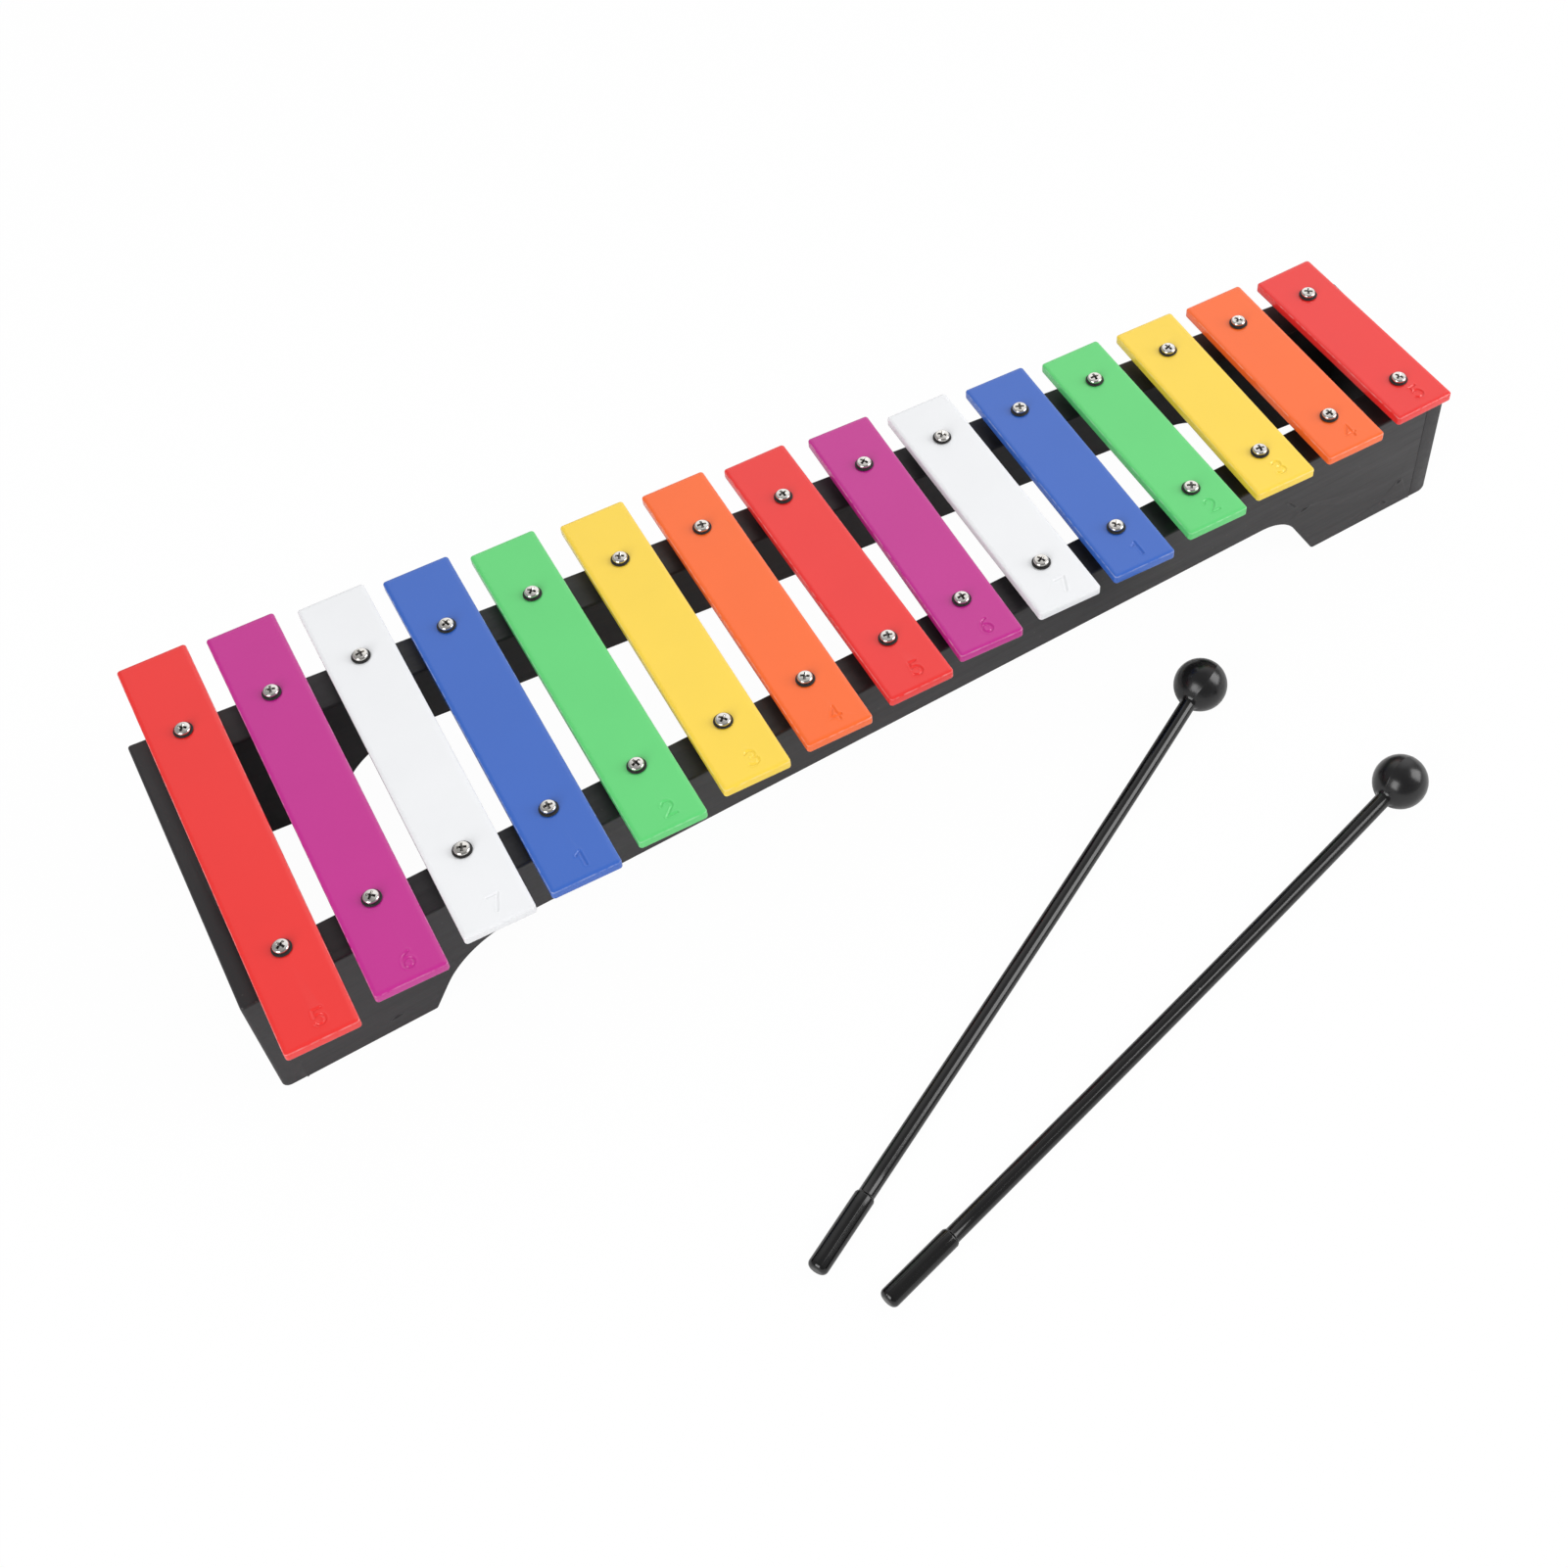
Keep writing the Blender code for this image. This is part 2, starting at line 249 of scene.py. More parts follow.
def paintedWoodMaterial(name, grain):
    material, tree, shader = newMaterial(name)
    stretch = tuple(woodPaint["alongGrain"] if axis == grain else 1 for axis in "XYZ")
    streaks = useGroup(tree, woodStreaks, Stretch=stretch, **woodPaint["streaks"])
    drifted = useGroup(tree, colourDrift, Colour=woodPaint["colour"], **woodPaint["drift"])
    wear = useGroup(tree, rimMarks, **woodPaint["wear"])
    rubbed = mixColour(tree, wear, drifted, woodPaint["rubbed"])
    specks = useGroup(tree, dust, **woodPaint["dust"])
    dusty = mixColour(tree, specks, rubbed, woodPaint["dusty"])
    coat(tree, shader, woodPaint, dusty, mapRange(tree, streaks, wanted=woodPaint["roughness"]), streaks)
    return material


malletPlastic = {
    "plain": {"IOR": 1.46, "Specular IOR Level": 0.55},
    "glossy": (0.0028, 0.0026, 0.0029, 1),
    "matt": (0.0072, 0.007, 0.0076, 1),
    "mattRougher": 0.1,
    "scuffed": (0.05, 0.05, 0.052, 1),
    "dusty": (0.09, 0.09, 0.09, 1),
    "drift": {"Scale": 60.0, "Amount": 0.3},
    "wear": {"Scale": 260.0, "Amount": 0.3},
    "dust": {"Scale": 260.0, "Size": 0.09},
    "flow": {"Scale": 160.0, "Detail": 5.0},
    "roughness": (0.1, 0.2),
    "peel": {"Scale": 900.0},
    "bump": {"Strength": 0.12, "Distance": 0.05 * mm},
}


def plasticMaterial():
    material, tree, shader = newMaterial("moulded black plastic")
    matt = marked(tree, "matt")
    body = mixColour(tree, matt, malletPlastic["glossy"], malletPlastic["matt"])
    drifted = useGroup(tree, colourDrift, Colour=body, **malletPlastic["drift"])
    wear = useGroup(tree, rimMarks, **malletPlastic["wear"])
    scuffed = mixColour(tree, wear, drifted, malletPlastic["scuffed"])
    specks = useGroup(tree, dust, **malletPlastic["dust"])
    dusty = mixColour(tree, specks, scuffed, malletPlastic["dusty"])
    glossy = mapRange(tree, noise(tree, **malletPlastic["flow"]), wanted=malletPlastic["roughness"])
    rough = calc(tree, "MULTIPLY_ADD", matt, malletPlastic["mattRougher"], glossy)
    coat(tree, shader, malletPlastic, dusty, rough, useGroup(tree, orangePeel, **malletPlastic["peel"]))
    return material


nickelPlate = {
    "plain": {"Metallic": 1.0},
    "colour": (0.66, 0.64, 0.61, 1),
    # dark colour painted into the screw recess: painted shade, with some dirt
    "shadeAndDirt": (0.12, 0.115, 0.11, 1),
    "drift": {"Scale": 900.0, "Amount": 0.25},
    "brush": {"Scale": 2600.0, "Detail": 3.0},
    "roughness": (0.1, 0.24),
    "peel": {"Scale": 2400.0},
    "bump": {"Strength": 0.15, "Distance": 0.03 * mm},
}


def nickelMaterial():
    material, tree, shader = newMaterial("nickel plate")
    drifted = useGroup(tree, colourDrift, Colour=nickelPlate["colour"], **nickelPlate["drift"])
    # the recess gets darker towards its bottom: painted shade, with some dirt
    shadedAndDirty = mixColour(tree, marked(tree, "shadeAndDirt"), drifted, nickelPlate["shadeAndDirt"])
    rough = mapRange(tree, noise(tree, **nickelPlate["brush"]), wanted=nickelPlate["roughness"])
    coat(tree, shader, nickelPlate, shadedAndDirty, rough, useGroup(tree, orangePeel, **nickelPlate["peel"]))
    return material


blackRubber = {
    "plain": {"IOR": 1.5},
    "colour": (0.012, 0.0115, 0.011, 1),
    "dusty": (0.05, 0.048, 0.045, 1),
    "drift": {"Scale": 700.0, "Amount": 0.5},
    "dust": {"Scale": 1500.0, "Size": 0.2},
    "bloom": {"Scale": 800.0, "Detail": 4.0},
    "roughness": (0.5, 0.75),
    "peel": {"Scale": 3000.0},
    "bump": {"Strength": 0.3, "Distance": 0.04 * mm},
}


def rubberMaterial():
    material, tree, shader = newMaterial("black rubber")
    drifted = useGroup(tree, colourDrift, Colour=blackRubber["colour"], **blackRubber["drift"])
    specks = useGroup(tree, dust, **blackRubber["dust"])
    dusty = mixColour(tree, specks, drifted, blackRubber["dusty"])
    rough = mapRange(tree, noise(tree, **blackRubber["bloom"]), wanted=blackRubber["roughness"])
    coat(tree, shader, blackRubber, dusty, rough, useGroup(tree, orangePeel, **blackRubber["peel"]))
    return material


enamelPaints = {name: enamelMaterial(name, colour) for name, colour in enamel["colours"].items()}
railPaint = paintedWoodMaterial("black paint on rail", "X")
boardPaint = paintedWoodMaterial("black paint on end board", "Y")
plastic = plasticMaterial()
nickel = nickelMaterial()
rubber = rubberMaterial()
print("materials ready")


# mesh helpers


def middleOf(node):
    low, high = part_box(node)
    return (low + high) / 2


def skinRings(bm, rings):
    for lower, upper in zip(rings, rings[1:]):
        for i in range(len(lower)):
            j = (i + 1) % len(lower)
            bm.faces.new((lower[i], lower[j], upper[j], upper[i]))


def fillFlat(bm, loops, normal):
    # in millimetres while it fills, because the fill merges points that are very close in its own units
    edges = []
    for vertex in itertools.chain(*loops):
        vertex.co /= mm
    for loop in loops:
        for first, second in zip(loop, loop[1:] + loop[:1]):
            edges.append(bm.edges.get((first, second)) or bm.edges.new((first, second)))
    bmesh.ops.triangle_fill(bm, use_beauty=True, edges=edges, normal=normal)
    for vertex in itertools.chain(*loops):
        vertex.co *= mm


def shadeSoft(mesh, sharp=40):
    mesh.shade_smooth()
    mesh.set_sharp_from_angle(angle=math.radians(sharp))


def closeMesh(name, bm, material, sharp=40):
    bmesh.ops.recalc_face_normals(bm, faces=bm.faces)
    openEdges = sum(not e.is_manifold for e in bm.edges)
    if openEdges:
        print("  open edges in", name, openEdges)
    mesh = bpy.data.meshes.new(name)
    bm.to_mesh(mesh)
    bm.free()
    mesh.materials.append(material)
    shadeSoft(mesh, sharp)
    return mesh


def addObject(name, data):
    thing = bpy.data.objects.new(name, data)
    bpy.context.scene.collection.objects.link(thing)
    return thing


def showPiece(name, mesh, body):
    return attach(addObject(name, mesh), body)


def placedCopy(mesh, place):
    copy = mesh.copy()
    copy.transform(place)
    return copy


def inwardMitres(outline):
    # outline runs anticlockwise, so its inside is on the left
    mitres = []
    for i, here in enumerate(outline):
        before, after = Vector(outline[i - 1]), Vector(outline[(i + 1) % len(outline)])
        first = (Vector(here) - before).normalized()
        second = (after - Vector(here)).normalized()
        a, b = Vector((-first.y, first.x)), Vector((-second.y, second.x))
        mitres.append((a + b) / (1 + a.dot(b)))
    return mitres


def roundedOutline(corners, steps=6):
    # corners of (u, w, radius); radius 0 keeps the point as it is
    points = []
    for i, (u, w, radius) in enumerate(corners):
        here = Vector((u, w))
        if not radius:
            points.append(here)
            continue
        toBefore = (Vector(corners[i - 1][:2]) - here).normalized()
        toAfter = (Vector(corners[(i + 1) % len(corners)][:2]) - here).normalized()
        half = toBefore.angle(toAfter) / 2
        centre = here + (toBefore + toAfter).normalized() * radius / math.sin(half)
        start = here + toBefore * radius / math.tan(half) - centre
        sweep = start.angle_signed(here + toAfter * radius / math.tan(half) - centre)
        for k in range(steps + 1):
            turn = -sweep * k / steps
            c, s = math.cos(turn), math.sin(turn)
            points.append(centre + Vector((start.x * c - start.y * s, start.x * s + start.y * c)))
    return points


def arcPoints(centre, radii, start, end, count):
    for k in range(count + 1):
        a = math.radians(start + (end - start) * k / count)
        yield centre[0] + radii[0] * math.cos(a), centre[1] + radii[1] * math.sin(a)


def circlePoints(centre, radius, count):
    return list(arcPoints(centre, (radius, radius), 0, 360, count))[:-1]


def reliefPatch(bm, place, patch):
    # a fine grid that heightOf lifts or sinks, level at its rim
    centre, size, spacing, heightOf = patch
    across, along = (max(2, round(s / spacing)) for s in size)
    u, w = np.meshgrid(*(np.linspace(-0.5, 0.5, n + 1) * s for n, s in zip((across, along), size)))
    lift = heightOf(u, w)
    lift[0], lift[-1], lift[:, 0], lift[:, -1] = 0, 0, 0, 0
    grid = []
    for j in range(along + 1):
        spots = [(centre[0] + u[j, i], centre[1] + w[j, i], -lift[j, i]) for i in range(across + 1)]
        grid.append([bm.verts.new(place(*spot)) for spot in spots])
    for lower, upper in zip(grid, grid[1:]):
        for i in range(across):
            bm.faces.new((lower[i], lower[i + 1], upper[i + 1], upper[i]))
    return grid[0] + [row[-1] for row in grid[1:]] + grid[-1][-2::-1] + [row[0] for row in grid[-2:0:-1]]


def sunkWithBurr(ratio, depth, burr):
    # burr is the raised ring's share of the depth, how far out it lies and how wide it is
    share, out, spread = burr
    return depth * (share * np.exp(-((ratio - out) ** 2) / spread) - np.exp(-(ratio**2)))


def roundCurve(steps=6):
    # (inset, depth, rim) from the flat face outwards, as shares of the edge's radius
    angles = [math.pi / 2 * (1 - k / steps) for k in range(steps + 1)]
    return [(1 - math.cos(a), 1 - math.sin(a), math.sin(2 * a)) for a in angles]


def rolledCurve(width, slope, radius, shallowSteps=5, roundSteps=7):
    # a shallow fall over most of the width, which ends in a tighter round
    start = radius * (1 - math.sin(slope))
    fall = math.tan(slope) / 2 / (width - start)
    insets = np.linspace(width, start, shallowSteps + 1)
    curve = [(inset, fall * (width - inset) ** 2, 0) for inset in insets]
    drop = curve[-1][1] - radius * (1 - math.cos(slope))
    for tilt in np.linspace(slope, math.pi / 2, roundSteps + 1)[1:]:
        inset = radius * (1 - math.sin(tilt))
        curve.append((inset, drop + radius * (1 - math.cos(tilt)), math.sin(2 * tilt)))
    return curve


def slab(place, outline, frontRound, backRound, thickness, holes=(), patches=(), frontCurve=None):
    # flat board with rounded edges; place() takes (u, w, depth below the front face)
    # outline is a list of points, or a function that gives them for any inset
    support = 0.15 * mm  # a line of points beside each rounded edge, which keeps the faces flat
    holeSteps = 32
    bm = bmesh.new()
    rim = bm.verts.layers.float.new("rim")
    fixed = None if callable(outline) else list(zip(outline, inwardMitres(outline)))

    def ring(radii, share, extra, front):
        loop = []
        insets = [radius * share[0] + extra for radius in radii]
        if fixed:
            spots = [Vector(point) + mitre * inset for (point, mitre), inset in zip(fixed, insets)]
        else:
            spots = outline(insets[0])
        for spot, radius in zip(spots, radii):
            depth = radius * share[1]
            vertex = bm.verts.new(place(spot.x, spot.y, depth if front else thickness - depth))
            vertex[rim] = 0 if extra else share[2]
            loop.append(vertex)
        return loop

    quarter = roundCurve()
    fall = frontCurve or quarter
    rings = [ring(frontRound, fall[0], support, True)]
    rings += [ring(frontRound, share, 0, True) for share in fall]
    rings += [ring(backRound, share, 0, False) for share in reversed(quarter)]
    rings.append(ring(backRound, quarter[0], support, False))
    skinRings(bm, rings)
    frontLoops, backLoops = [rings[0]], [rings[-1]]
    for centre, radius, soft in holes:
        levels = [(radius + soft + support, 0)]
        levels += [(radius + soft * inset, soft * depth) for inset, depth, _ in quarter]
        levels += [(radius + soft * inset, thickness - soft * depth) for inset, depth, _ in reversed(quarter)]
        levels.append((radius + soft + support, thickness))
        bore = [
            [bm.verts.new(place(*point, depth)) for point in circlePoints(centre, r, holeSteps)]
            for r, depth in levels
        ]
        skinRings(bm, bore)
        frontLoops.append(bore[0])
        backLoops.append(bore[-1])
    frontLoops += [reliefPatch(bm, place, patch) for patch in patches]
    for loops, depth in ((frontLoops, 0), (backLoops, thickness)):
        corner = place(0, 0, depth)
        fillFlat(bm, loops, (place(1, 0, depth) - corner).cross(place(0, 1, depth) - corner).normalized())
    return bm


def turned(name, profile, material, pointsAt, sharp=40):
    # profile of (radius, z) from the top down, with both ends on the axis
    # pointsAt gives (angle, lift, rim) round the axis for a radius
    onAxis = 1e-7
    bm = bmesh.new()
    rim = bm.verts.layers.float.new("rim")
    rings = []
    for radius, z in profile:
        if radius < onAxis:
            rings.append([bm.verts.new((0, 0, z))])
            continue
        loop = []
        for angle, lift, wear in pointsAt(radius):
            vertex = bm.verts.new(((radius + lift) * math.cos(angle), (radius + lift) * math.sin(angle), z))
            vertex[rim] = wear
            loop.append(vertex)
        rings.append(loop)
    for upper, lower in zip(rings, rings[1:]):
        count = max(len(upper), len(lower))
        for i in range(count):
            j = (i + 1) % count
            corners = [(upper, i), (lower, i), (lower, j), (upper, j)]
            bm.faces.new(list(dict.fromkeys(loop[k % len(loop)] for loop, k in corners)))
    return closeMesh(name, bm, material, sharp)


# bars

bars = {
    "order": ("red", "purple", "white", "blue", "green", "yellow", "orange"),
    # the top edges fall away in a shallow curve this wide to this slope, then in a tighter round
    "topWidth": 1.3 * mm,
    "topSlope": math.radians(22),
    "topRound": 0.45 * mm,
    "underRound": 0.4 * mm,
    "cornerRound": 1.0 * mm,
    "cornerLeast": 0.35 * mm,
    "hole": 2.35 * mm,
    "holeRound": 0.3 * mm,
    # how each bar sits with its screws: right and back in mm, and turn in degrees
    "sits": [
        (0.45, -0.9, 0), (0, 0.25, -0.05), (0.2, 0.95, -0.1), (-0.74, 0.2, -0.14), (-0.77, -0.25, 0.2),
        (0.23, 0, -0.12), (0.12, 0.1, 0.09), (0.42, -0.1, 0.74), (0.14, 0.35, -1.08), (0, -0.75, 0),
        (-0.34, -1.65, -0.4), (0.12, -1.25, 0.5), (-0.04, -0.7, -0.15), (-0.45, -0.55, 0.74), (-0.14, 0, 2.2),
    ],
}
stamps = {
    "numbers": (5, 6, 7, 1, 2, 3, 4),  # steps of the scale
    "from": (1.3 * mm, 6.25 * mm),  # right of the middle, and back from the player's end
    "height": 4.8 * mm,
    "width": 0.64,  # share of the height
    "depth": 0.25 * mm,
    "stroke": 0.31 * mm,
    "burr": (0.22, 1.9, 0.5),
    "margin": 1.9 * mm,
    "grid": 0.115 * mm,
    # the digits, drawn where their height is 1
    "middle": (0.31, 0.5),
    "strokes": {
        1: [[(0.1, 0.8), (0.36, 1), (0.36, 0)]],
        2: [[*arcPoints((0.31, 0.69), (0.29, 0.31), 165, -35, 14), (0.02, 0), (0.62, 0)]],
        3: [[
            *arcPoints((0.29, 0.76), (0.26, 0.24), 150, -90, 14),
            *arcPoints((0.29, 0.26), (0.31, 0.26), 90, -150, 16),
        ]],
        4: [[(0.46, 0), (0.46, 1), (0, 0.3), (0.64, 0.3)]],
        5: [[(0.56, 1), (0.13, 1), (0.09, 0.56), *arcPoints((0.29, 0.32), (0.31, 0.32), 125, -150, 18)]],
        6: [
            [*arcPoints((0.62, 0.33), (0.6, 0.67), 100, 175, 10)],
            [*arcPoints((0.31, 0.3), (0.29, 0.3), 0, 360, 24)],
        ],
        7: [[(0, 1), (0.62, 1), (0.22, 0)]],
    },
}


def stampRelief(number):
    noLength = 1e-9  # keeps the sum defined where two arcs share a point

    def heightOf(u, w):
        nearest = np.full(u.shape, 1.0)
        for stroke in stamps["strokes"][number]:
            points = (np.array(stroke) - stamps["middle"]) * stamps["height"]
            for (au, aw), (bu, bw) in zip(points, points[1:]):
                du, dw = bu - au, bw - aw + noLength
                t = np.clip(((u - au) * du + (w - aw) * dw) / (du * du + dw * dw), 0, 1)
                nearest = np.minimum(nearest, np.hypot(u - au - t * du, w - aw - t * dw))
        return sunkWithBurr(nearest / stamps["stroke"], stamps["depth"], stamps["burr"])

    return heightOf


def sitsAt(i):
    middle = middleOf(f"bar_{i + 1:02d}")
    right, back, turn = bars["sits"][i]
    moved = Matrix.Translation((middle.x + right * mm, middle.y + back * mm, 0))
    return moved @ Matrix.Rotation(math.radians(turn), 4, "Z") @ Matrix.Translation((-middle.x, -middle.y, 0))


def makeBar(i):
    node = f"bar_{i + 1:02d}"
    low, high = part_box(node)
    centre, half = (low + high) / 2, (high - low) / 2
    step = i % len(bars["order"])
    colour = bars["order"][step]
    screwLow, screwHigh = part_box(f"screw_back_{i + 1:02d}")
    screwY = (screwLow.y + screwHigh.y) / 2 - frameMiddle

    def outline(inset):
        corner = max(bars["cornerRound"] - inset, bars["cornerLeast"])
        x, y = half.x - inset, half.y - inset
        return roundedOutline([(-x, -y, corner), (x, -y, corner), (x, y, corner), (-x, y, corner)])

    around = len(outline(0))
    right, back = stamps["from"]
    tall, margin = stamps["height"], stamps["margin"]
    stampSize = (stamps["width"] * tall + margin, tall + margin)
    stamp = ((right, -half.y + back), stampSize, stamps["grid"], stampRelief(stamps["numbers"][step]))
    bm = slab(
        lambda u, w, depth: Vector((centre.x + u, centre.y + w, high.z - depth)),
        outline,
        [1] * around,  # the top's curve is in real sizes
        [bars["underRound"]] * around,
        high.z - low.z,
        holes=[((0, side * screwY), bars["hole"], bars["holeRound"]) for side in (-1, 1)],
        patches=[stamp],
        frontCurve=rolledCurve(bars["topWidth"], bars["topSlope"], bars["topRound"]),
    )
    bmesh.ops.transform(bm, matrix=sitsAt(i), verts=bm.verts)
    name = f"enamelled_bar_{i + 1:02d}"
    piece = showPiece(name, closeMesh(name, bm, enamelPaints[colour]), node)
    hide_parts(node)


barCount = len(bars["sits"])
frameMiddle = (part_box("rail_front")[0].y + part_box("rail_back")[1].y) / 2
for i in range(barCount):
    makeBar(i)
print("bars done")


# frame; -1 and 1 are left and right, or front and back

rails = {
    "outer": 38.3 * mm,  # from the middle line at mid length
    "taper": 0.049,
    "thickness": 13.5 * mm,
    "archHeight": 21.6 * mm,
    "archFoot": {-1: -150 * mm, 1: 150 * mm},
    "footCorner": 1 * mm,
    "flank": 58.5,  # degrees
    "shoulder": {-1: 28 * mm, 1: 16 * mm},
    "shoulderSteps": {-1: 20, 1: 16},
    "edge": 0.7 * mm,
    "seam": {-1: 0.03 * mm, 1: 0.22 * mm},  # the left joints are filled and painted over
    "seamFrom": 0.6 * mm,  # the edge narrows to the seam over this length
}
knocks = {
    # on the front rail: x, z, width, height, depth in mm, turn in degrees
    "spots": [
        (138.4, 27.0, 1.6, 0.36, 0.4, -45),
        (143.8, 21.8, 1.2, 0.34, 0.32, 12),
        (182.4, 11.0, 0.75, 0.5, 0.42, 20),
        (177.3, 4.6, 0.95, 0.42, 0.36, -35),
        (-160.8, 6.1, 1.2, 0.36, 0.32, 8),
    ],
    "burr": (0.18, 1.7, 0.3),
    "reach": 4,  # the fine grid's side, in sizes of the knock
    "grid": 0.12 * mm,
}


def railReach(x):
    return rails["outer"] - rails["taper"] * x


def knockRelief(width, height, depth, turn):
    c, s = math.cos(math.radians(turn)), math.sin(math.radians(turn))

    def heightOf(u, w):
        ratio = np.hypot((u * c + w * s) / width, (w * c - u * s) / height)
        return sunkWithBurr(ratio, depth, knocks["burr"])

    return heightOf


def archShoulder(side):
    # the round between the arch's flat top and its sloping flank
    radius, flank = rails["shoulder"][side], math.radians(rails["flank"])
    lift = rails["archHeight"] - radius * (1 - math.cos(flank))
    x = rails["archFoot"][side] - side * (lift / math.tan(flank) + radius * math.sin(flank))
    turns = (90 + rails["flank"], 90) if side < 0 else (90, 90 - rails["flank"])
    centre = (x, rails["archHeight"] - radius)
    return [(*p, 0) for p in arcPoints(centre, (radius, radius), *turns, rails["shoulderSteps"][side])]


def railOutline(end, height):
    near, foot = end - rails["seamFrom"], rails["footCorner"]
    corners = [(-end, 0, 0), (-near, 0, 0), (rails["archFoot"][-1], 0, foot)]
    corners += archShoulder(-1) + archShoulder(1)
    corners += [(rails["archFoot"][1], 0, foot), (near, 0, 0), (end, 0, 0)]
    corners += [(end, height, 0), (near, height, 0), (-near, height, 0), (-end, height, 0)]
    return roundedOutline(corners)


def makeRail(name, side):
    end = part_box("end_board_right")[0].x
    outline = railOutline(end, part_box(name)[1].z)

    def place(u, w, depth):
        return Vector((u, frameMiddle + side * (railReach(u) - depth), w))

    def edgeAt(u):
        atSeam = abs(u) > end - rails["seamFrom"] / 2
        return rails["seam"][1 if u > 0 else -1] if atSeam else rails["edge"]

    soft = [edgeAt(point.x) for point in outline]
    patches = []
    spots = knocks["spots"] if side < 0 else []
    for x, z, width, tall, depth, turn in spots:
        across = knocks["reach"] * max(width, tall) * mm
        shape = knockRelief(width * mm, tall * mm, depth * mm, turn)
        patches.append(((x * mm, z * mm), (across, across), knocks["grid"], shape))
    bm = slab(place, outline, soft, soft, rails["thickness"], patches=patches)
    piece = showPiece(f"painted_{name}", closeMesh(name, bm, railPaint), "frame")
    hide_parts(name)


makeRail("rail_front", -1)
makeRail("rail_back", 1)

boards = {
    "thickness": 6.6 * mm,
    "planed": {-1: 0, 1: 0.35 * mm},  # the right board is a little thinner
    # each rounded edge with its steps
    "foot": (2.3 * mm, 8),
    "side": (0.9 * mm, 5),
    "top": {-1: (0.8 * mm, 5), 1: (1.5 * mm, 5)},  # the right one is sanded rounder
    "seamSteps": 2,
    "wearGain": 3.4,
    "nailHeights": (9 * mm, 22 * mm),
    # sunk nails show as shallow filled spots
    "fillerWidth": 1.4 * mm,
    "fillerDepth": 0.1 * mm,
    "fillerPatch": (5.6 * mm, 5.6 * mm),
    "fillerGrid": 0.22 * mm,
}


def fillerRelief(u, w):
    ratio = np.hypot(u, w) / boards["fillerWidth"]
    return -boards["fillerDepth"] * np.exp(-(ratio**4))


def bevelEdges(bm, inside, outside, width, steps, sharp=30):
    # rounds the sharp edges that lie in the first place and not in the second
    edges = [
        e for e in bm.edges
        if e.calc_face_angle(0) > math.radians(sharp)
        and all(inside(v.co) for v in e.verts) and not all(outside(v.co) for v in e.verts)
    ]
    bmesh.ops.bevel(
        bm, geom=edges, offset=width, segments=steps, profile=0.5, affect="EDGES", clamp_overlap=False
    )


def makeEndBoard(name, end):
    low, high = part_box(name)
    outer = end * max(abs(low.x), abs(high.x))
    inner = outer - end * boards["thickness"]
    outer -= end * boards["planed"][end]
    near, level = 0.01 * mm, 0.99
    bm = bmesh.new()

    def onInner(c):
        return abs(c.x - inner) < near

    def onTop(c):
        return abs(c.z - high.z) < near

    def atFoot(c):
        return abs(c.x - outer) < near and c.z < near

    def atSide(c):
        return abs(c.y - frameMiddle) > railReach(outer) - boards["side"][0]

    faces = []
    for x in (inner, outer):
        corners = ((-1, 0), (1, 0), (1, high.z), (-1, high.z))
        faces.append([bm.verts.new((x, frameMiddle + s * railReach(x), z)) for s, z in corners])
    skinRings(bm, faces)
    for loop in faces:
        bm.faces.new(loop)
    bmesh.ops.recalc_face_normals(bm, faces=bm.faces)
    bevelEdges(bm, atFoot, onInner, *boards["foot"])
    bevelEdges(bm, atSide, lambda c: onInner(c) or onTop(c), *boards["side"])
    bevelEdges(bm, onTop, onInner, *boards["top"][end])
    bevelEdges(bm, onInner, onTop, rails["seam"][end], boards["seamSteps"])
    rim = bm.verts.layers.float.new("rim")
    bm.normal_update()
    for vertex in bm.verts:
        vertex[rim] = min(1, (1 - max(abs(n) for n in vertex.normal)) * boards["wearGain"])
    outwards = [f for f in bm.faces if end * f.normal.x > level]
    face = max(outwards, key=lambda f: f.calc_area())
    loops = [list(face.verts)]
    bm.faces.remove(face)
    nailY = railReach(outer) - rails["thickness"] / 2
    for s, z in itertools.product((-1, 1), boards["nailHeights"]):
        spot = ((frameMiddle + s * nailY, z), boards["fillerPatch"], boards["fillerGrid"], fillerRelief)
        loops.append(reliefPatch(bm, lambda u, w, depth: Vector((outer - end * depth, u, w)), spot))
    fillFlat(bm, loops, (end, 0, 0))
    piece = showPiece(f"painted_{name}", closeMesh(name, bm, boardPaint), "frame")
    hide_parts(name)


makeEndBoard("end_board_left", -1)
makeEndBoard("end_board_right", 1)
for name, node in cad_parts.items():
    if name.startswith("nail_"):
        node.data.materials.clear()
        node.data.materials.append(nickel)
print("frame done")


# screws and grommets, with heights from the rail's top face

